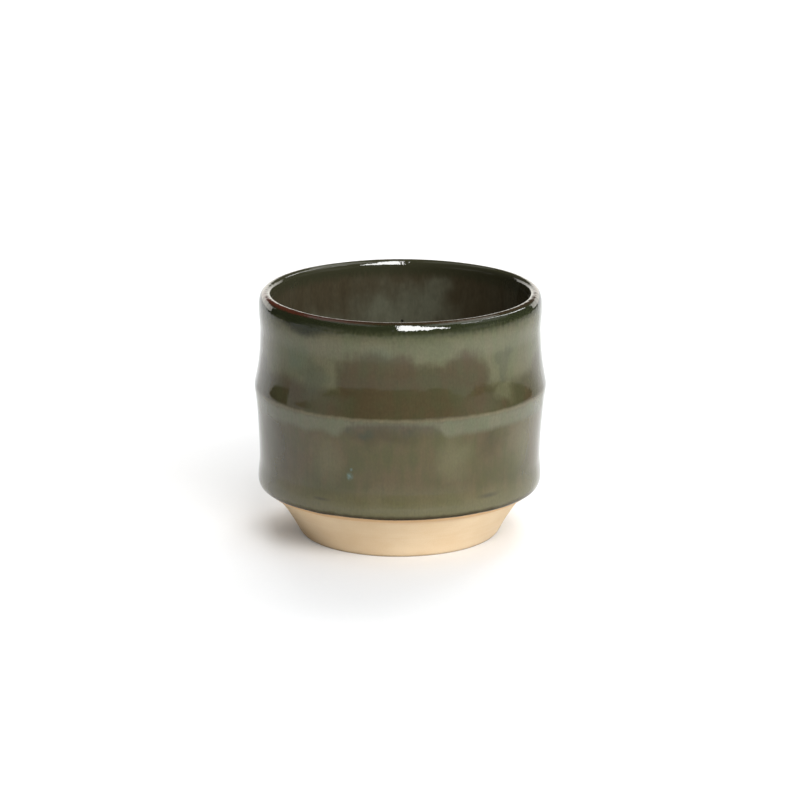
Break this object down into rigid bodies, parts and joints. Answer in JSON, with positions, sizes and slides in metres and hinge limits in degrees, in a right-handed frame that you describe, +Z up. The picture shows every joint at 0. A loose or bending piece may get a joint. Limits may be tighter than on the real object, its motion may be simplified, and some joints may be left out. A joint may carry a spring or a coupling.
{
  "type": "yunomi tea cup",
  "caption": "Low round stoneware tea cup without a handle: a ridged wall under glossy green-brown glaze, a rounded red-brown lip and a bare cream clay foot.",
  "frame": {"origin": "centre of the foot ring on the plane it stands on", "axes": "+Z up along the cup's axis, out of its mouth; X and Y are any two level directions, since the cup is round"},
  "size_m": [0.0832, 0.0832, 0.0704],
  "materials": {
    "bare_clay": "unglazed, matt, fine sandy grain",
    "outer_glaze": "glossy, mottled grey-green and brown",
    "lip_glaze": "glossy, thin, red-brown",
    "liner_glaze": "glossy, mottled dark grey-green and brown"
  },
  "bodies": {
    "root": {"clay_body": "bare_clay", "outer_glaze": "outer_glaze", "lip_glaze": "lip_glaze", "liner_glaze": "liner_glaze"}
  },
  "joints": []
}
